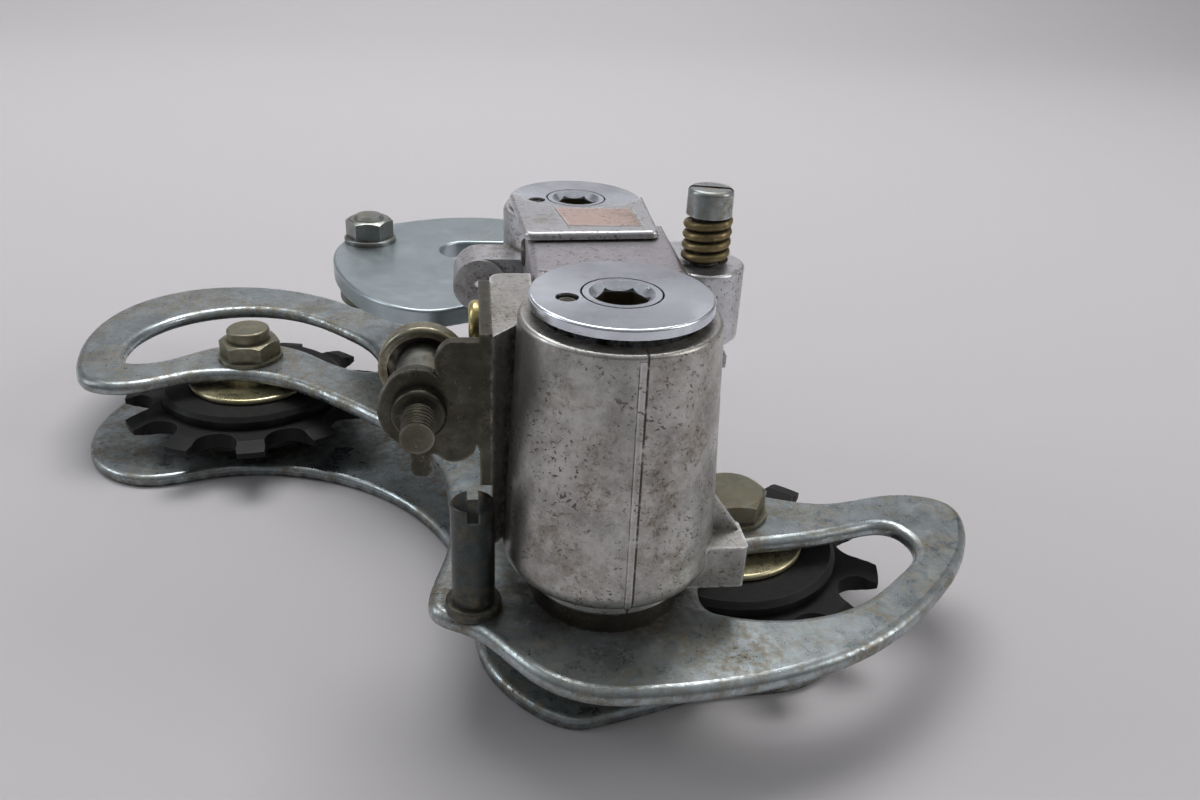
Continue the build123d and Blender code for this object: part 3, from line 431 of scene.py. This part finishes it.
lower_chrome = chrome("lower chrome", (0.0, 0.02, 0.0), cage_axis, top_of("lower_pivot_cap"))
give(lower_chrome, "lower_pivot_cap", "cage_pivot_bolt")
upper_chrome = chrome("upper chrome", (0.05, 0.0, 0.02), mounting_axis, top_of("upper_pivot_cap"))
give(upper_chrome, "upper_pivot_cap", "mounting_bolt")


# ------------------------------------------------------------------ collars, pins, bushings and springs
# Turned steel and spring wire, dark with the pivots' old grease. Only their rubbed edges and
# scratches show metal.
greasy_steel = plated_steel("greasy steel", (0.13, 0.12, 0.10, 1), (0.045, 0.039, 0.030, 1), (0.26, 0.46),
                            film=0.5, specks=0.8, reach=3.0, film_colour=(0.030, 0.023, 0.012, 1),
                            worn=(0.38, 0.36, 0.31, 1), shift=(0.0, 0.04, 0.0))
give(greasy_steel, "upper_pivot_collar", "lower_pivot_collar", "outer_link_upper_pin", "inner_link_upper_pin",
     "outer_link_lower_pin", "inner_link_lower_pin", "guide_bushing", "tension_bushing", "upper_pivot_spring",
     "lower_pivot_spring", "return_spring")


# ------------------------------------------------------------------ cast knuckles
# Die-cast alloy, tumbled and lacquered, now grey-pink with small pits. Brown specks gather in
# patches, a thin line of painted shade lies along the lower casting's parting line and in inside corners, and
# the outside corners have been rubbed bright. The blank badge on the upper one has the same wear over a
# copper tint.
rubbed_alloy = (0.86, 0.85, 0.85, 1)
brown_oil = (0.16, 0.11, 0.045, 1)
# Dark colour, used for specks, scratches and nicks, and for painted shade in corners and beside the seam.
grime_and_shade_dark = (0.07, 0.052, 0.033, 1)
seam_x = cage_axis.x + 1.45 * MM
seam_start_y = cage_axis.y - 9 * MM


def cast_alloy(name, shift, film, specks, bright=(0.64, 0.63, 0.61, 1), dull=(0.35, 0.34, 0.325, 1),
               stains=(), seam=False):
    finish, tree, shader, where = new_finish(name)
    moved = put(tree, "VectorMath", {0: where, 1: shift}, operation="ADD").outputs[0]
    dirt = place_group(tree, dirt_and_corner_shade, Patch_Size=8.0, Film=film, Specks=specks, Corner_Reach=2.0,
                       Corners=0.9, Shift=shift)
    marks = place_group(tree, scratches, Amount=0.7, Shift=shift)
    edge = place_group(tree, worn_edges, Width=0.8, Amount=1.0)
    upright = put(tree, "Mapping", {"Vector": moved, "Scale": (1.0, 1.0, 0.12)}).outputs[0]
    drawn = cloudy(tree, upright, 900.0, 4.0, 0.6)
    mottled = banded(tree, cloudy(tree, moved, 160.0, 8.0, 0.78), 0.36, 0.66)
    mixed = scaled(tree, drawn, 0.35, combined(tree, "MULTIPLY", mottled, 0.75))
    metal = blended(tree, mixed, bright, dull)
    rubbed = blended(tree, edge.outputs["Rubbed"], metal, rubbed_alloy)
    film_here = combined(tree, "MULTIPLY", dirt.outputs["Film"], 0.6)
    if stains:
        film_here = combined(tree, "MAXIMUM", film_here, stained(tree, where, stains))
    filmed = blended(tree, combined(tree, "MULTIPLY", film_here, 0.8), rubbed, brown_oil)
    soiled_and_shaded = combined(tree, "MAXIMUM", combined(tree, "MULTIPLY", dirt.outputs["Specks"], 0.85),
                      dirt.outputs["Corners"])
    marks_and_shade = combined(tree, "MAXIMUM", soiled_and_shaded, combined(tree, "MULTIPLY", marks.outputs["Lines"], 0.7))
    nicks = None
    for turn in ((0.2, 0.4, 0.9), (0.5, -0.3, -0.7)):
        turned = put(tree, "Mapping", {"Vector": moved, "Rotation": turn}).outputs[0]
        laid = put(tree, "Mapping", {"Vector": turned, "Scale": (0.45, 1.0, 1.0)}).outputs[0]
        some = banded(tree, cloudy(tree, laid, 1700.0, 3.0, 0.66), 0.600, 0.655)
        nicks = some if nicks is None else combined(tree, "MAXIMUM", nicks, some)
    crowded = banded(tree, cloudy(tree, moved, 150.0, 3.0, 0.6), 0.30, 0.62)
    nicks = combined(tree, "MULTIPLY", nicks, combined(tree, "MAXIMUM", crowded, film_here))
    marks_and_shade = combined(tree, "MAXIMUM", marks_and_shade, combined(tree, "MULTIPLY", nicks, 0.85))
    # Painted shade: a thin broken dark line beside the lower casting's parting-line ridge.
    if seam:
        spot = put(tree, "SeparateXYZ", {0: where})
        beside = put(tree, "Math", {0: spot.outputs[0], 1: seam_x}, operation="SUBTRACT").outputs[0]
        beside = put(tree, "Math", {0: beside}, operation="ABSOLUTE").outputs[0]
        seam_shade = combined(tree, "MULTIPLY", banded(tree, beside, 0.24 * MM, 0.08 * MM),
                        banded(tree, spot.outputs[1], seam_start_y, seam_start_y - 1 * MM))
        broken = banded(tree, cloudy(tree, moved, 500.0, 4.0, 0.7), 0.32, 0.50)
        marks_and_shade = combined(tree, "MAXIMUM", marks_and_shade, combined(tree, "MULTIPLY", seam_shade, broken))
    tree.links.new(blended(tree, marks_and_shade, filmed, grime_and_shade_dark), shader.inputs["Base Color"])
    tree.links.new(ranged(tree, marks_and_shade, 1.0, 0.2), shader.inputs["Metallic"])
    gloss = ranged(tree, mixed, 0.30, 0.44)
    tree.links.new(scaled(tree, soiled_and_shaded, 0.3, gloss), shader.inputs["Roughness"])
    pits = banded(tree, cloudy(tree, moved, 1100.0, 3.0, 0.6), 0.60, 0.72)
    ripple = scaled(tree, drawn, 0.25, combined(tree, "MULTIPLY", mottled, 0.3))
    pitted = scaled(tree, pits, -0.5, ripple)
    cut = scaled(tree, marks_and_shade, -0.5, pitted)
    bump = put(tree, "Bump", {"Height": cut, "Strength": 0.3, "Distance": 0.10 * MM})
    tree.links.new(bump.outputs[0], shader.inputs["Normal"])
    return finish


knuckle_stains = [(27.2, -90.2, 11.0, 4.6), (23.0, -93.1, 3.6, 5.2), (15.6, -93.3, 11.5, 3.6),
                  (15.2, -93.4, 5.5, 4.2), (30.0, -88.0, 3.0, 3.4), (12.0, -92.0, 1.0, 3.2)]
give(cast_alloy("lower knuckle casting", (0.0, 0.0, 0.0), 0.30, 0.56, stains=knuckle_stains, seam=True),
     "lower_knuckle")
give(cast_alloy("upper knuckle casting", (0.07, 0.0, 0.0), 0.28, 0.40, (0.70, 0.71, 0.74, 1),
                (0.55, 0.54, 0.56, 1)), "upper_knuckle")
give(cast_alloy("badge foil", (0.0, 0.09, 0.0), 0.30, 0.45, (0.84, 0.66, 0.60, 1), (0.62, 0.47, 0.42, 1)),
     "badge_plate")


# ------------------------------------------------------------------ links
# Two silver alloy links that swing on a pin at each end and carry the lower knuckle sideways. They
# are satin, with rubbed edges.
give(cast_alloy("link alloy", (0.0, 0.0, 0.11), 0.25, 0.35, (0.58, 0.56, 0.60, 1), (0.42, 0.40, 0.43, 1)),
     "outer_link", "inner_link")


# ------------------------------------------------------------------ limit screws
# Slotted zinc-plated screws in the upper knuckle's ear. Each is kept from turning by a coil of
# yellow-passivated wire gone brown.
thread_radius = 2.0 * MM
thread_pitch = 0.8 * MM
for screw in ("high_limit", "low_limit"):
    screw_zinc = plated_steel(screw + " zinc", (0.46, 0.50, 0.51, 1), (0.28, 0.30, 0.29, 1), (0.22, 0.4),
                              film=0.36, specks=0.6, shift=(0.0, 0.0, 0.03))
    cut_thread(screw_zinc, places[screw + "_turn"], "Z", thread_radius, thread_pitch)
    give(screw_zinc, screw + "_screw")
old_brass = plated_steel("old brass wire", (0.34, 0.27, 0.14, 1), (0.15, 0.115, 0.055, 1), (0.28, 0.44),
                         film=0.42, specks=0.6, reach=1.5, film_colour=(0.12, 0.085, 0.03, 1),
                         shift=(0.0, 0.0, 0.05))
give(old_brass, "high_limit_spring", "low_limit_spring")


# ------------------------------------------------------------------ cable clamp
# A zinc-plated stamping, fixed to the lower knuckle with brass-coloured rivets and dark with oil.
# Its bolt, collar, washer and nut are plated steel and hold the gear cable.
clamp_zinc = plated_steel("clamp zinc", (0.105, 0.10, 0.08, 1), (0.040, 0.037, 0.027, 1), (0.20, 0.36),
                          film=0.46, specks=0.7, reach=3.0, film_colour=(0.040, 0.034, 0.018, 1),
                          worn=(0.26, 0.25, 0.20, 1), shift=(0.02, 0.01, 0.0))
give(clamp_zinc, "cable_clamp_bracket")
washer_zinc = plated_steel("washer zinc", (0.42, 0.41, 0.34, 1), (0.20, 0.185, 0.12, 1), (0.20, 0.36),
                           film=0.42, specks=0.6, film_colour=(0.13, 0.10, 0.04, 1),
                           shift=(0.03, 0.02, 0.0))
give(washer_zinc, "cable_clamp_washer")
give(bolt_zinc, "cable_clamp_collar")
give(clamp_zinc, "cable_clamp_nut")
clamp_bolt = nodes["cable_clamp_bolt"]
bolt_corners = [clamp_bolt.matrix_world @ Vector(corner) for corner in clamp_bolt.bound_box]
clamp_axis = sum(bolt_corners, Vector()) / len(bolt_corners)
clamp_screw = plated_steel("clamp screw", (0.19, 0.18, 0.145, 1), (0.085, 0.078, 0.055, 1), (0.24, 0.40),
                           film=0.42, specks=0.7, film_colour=(0.10, 0.085, 0.05, 1),
                           shift=(0.0, 0.03, 0.0))
cut_thread(clamp_screw, clamp_axis, "Y", thread_radius, thread_pitch)
give(clamp_screw, "cable_clamp_bolt")
rivet_brass = plated_steel("rivet brass", (0.80, 0.68, 0.32, 1), (0.50, 0.41, 0.18, 1), (0.2, 0.35),
                           film=0.30, shift=(0.0, 0.02, 0.06))
give(rivet_brass, "cable_clamp_rivets")


# ------------------------------------------------------------------ cage
# Two stamped plates with rolled edges and a thick blue-white zinc coat. It has worn to yellow-grey
# along the rims, and black grease specks and painted shade lie round the pivot and the pulley bolts.
cage_stains = [(18.8, -84.0, -17.3, 30.0), (36.0, -72.0, -17.3, 14.0), (-2.0, -84.0, -17.3, 14.0)]
# The wide corner reach spreads painted shade round the pivot and the pulley bolts.
cage_zinc = plated_steel("cage zinc", (0.50, 0.56, 0.585, 1), (0.24, 0.275, 0.285, 1), (0.20, 0.36),
                         film=0.40, specks=0.62, reach=6.0, mottle=5.0, shift=(0.01, 0.06, 0.0),
                         worn=(0.56, 0.545, 0.44, 1), stains=cage_stains)
give(cage_zinc, "cage_outer_plate", "cage_inner_plate")
post_steel = plated_steel("post steel", (0.085, 0.096, 0.096, 1), (0.036, 0.041, 0.040, 1), (0.28, 0.46),
                          film=0.4, specks=0.7, shift=(0.01, 0.0, 0.02))
give(post_steel, "cage_stop_post")
pulley_bolt_zinc = plated_steel("pulley bolt zinc", (0.30, 0.30, 0.235, 1), (0.155, 0.15, 0.10, 1),
                                (0.24, 0.42), film=0.44, specks=0.6, shift=(0.04, 0.0, 0.02))
give(pulley_bolt_zinc, "guide_pulley_bolt", "tension_pulley_bolt")
cap_yellow = plated_steel("yellow zinc", (0.72, 0.67, 0.44, 1), (0.44, 0.39, 0.22, 1), (0.2, 0.34),
                          film=0.32, specks=0.55, shift=(0.04, 0.05, 0.0))
give(cap_yellow, "guide_outer_dust_cap", "guide_inner_dust_cap", "tension_outer_dust_cap",
     "tension_inner_dust_cap")


# ------------------------------------------------------------------ pulleys
# Moulded black nylon wheels that turn on their bushings between the plates. They are matte, with
# patches of grey dust, rubbed edges and painted shade, a darker black, wherever a corner shelters it.
clean_nylon = (0.008, 0.008, 0.009, 1)
grey_dust = (0.018, 0.017, 0.015, 1)
rubbed_nylon = (0.045, 0.045, 0.045, 1)
corner_shade_black = (0.006, 0.005, 0.004, 1)


def black_nylon():
    finish, tree, shader, where = new_finish("black nylon")
    dirt = place_group(tree, dirt_and_corner_shade, Patch_Size=7.0, Film=0.42, Specks=0.3, Corner_Reach=2.0, Corners=0.9)
    edge = place_group(tree, worn_edges, Width=0.5, Amount=0.8)
    dust = combined(tree, "MULTIPLY", dirt.outputs["Film"], 0.5)
    dusty = blended(tree, dust, clean_nylon, grey_dust)
    rubbed = blended(tree, combined(tree, "MULTIPLY", edge.outputs["Rubbed"], 0.6), dusty, rubbed_nylon)
    # Painted shade: the corner mask darkens the nylon to near-black.
    tree.links.new(blended(tree, dirt.outputs["Corners"], rubbed, corner_shade_black), shader.inputs["Base Color"])
    shader.inputs["Specular IOR Level"].default_value = 0.2
    gloss = ranged(tree, cloudy(tree, where, 300.0, 4.0), 0.40, 0.65)
    tree.links.new(gloss, shader.inputs["Roughness"])
    bump = put(tree, "Bump", {"Height": cloudy(tree, where, 1400.0, 4.0, 0.7), "Strength": 0.3,
                              "Distance": 0.1 * MM})
    tree.links.new(bump.outputs[0], shader.inputs["Normal"])
    return finish


give(black_nylon(), "guide_pulley", "tension_pulley")
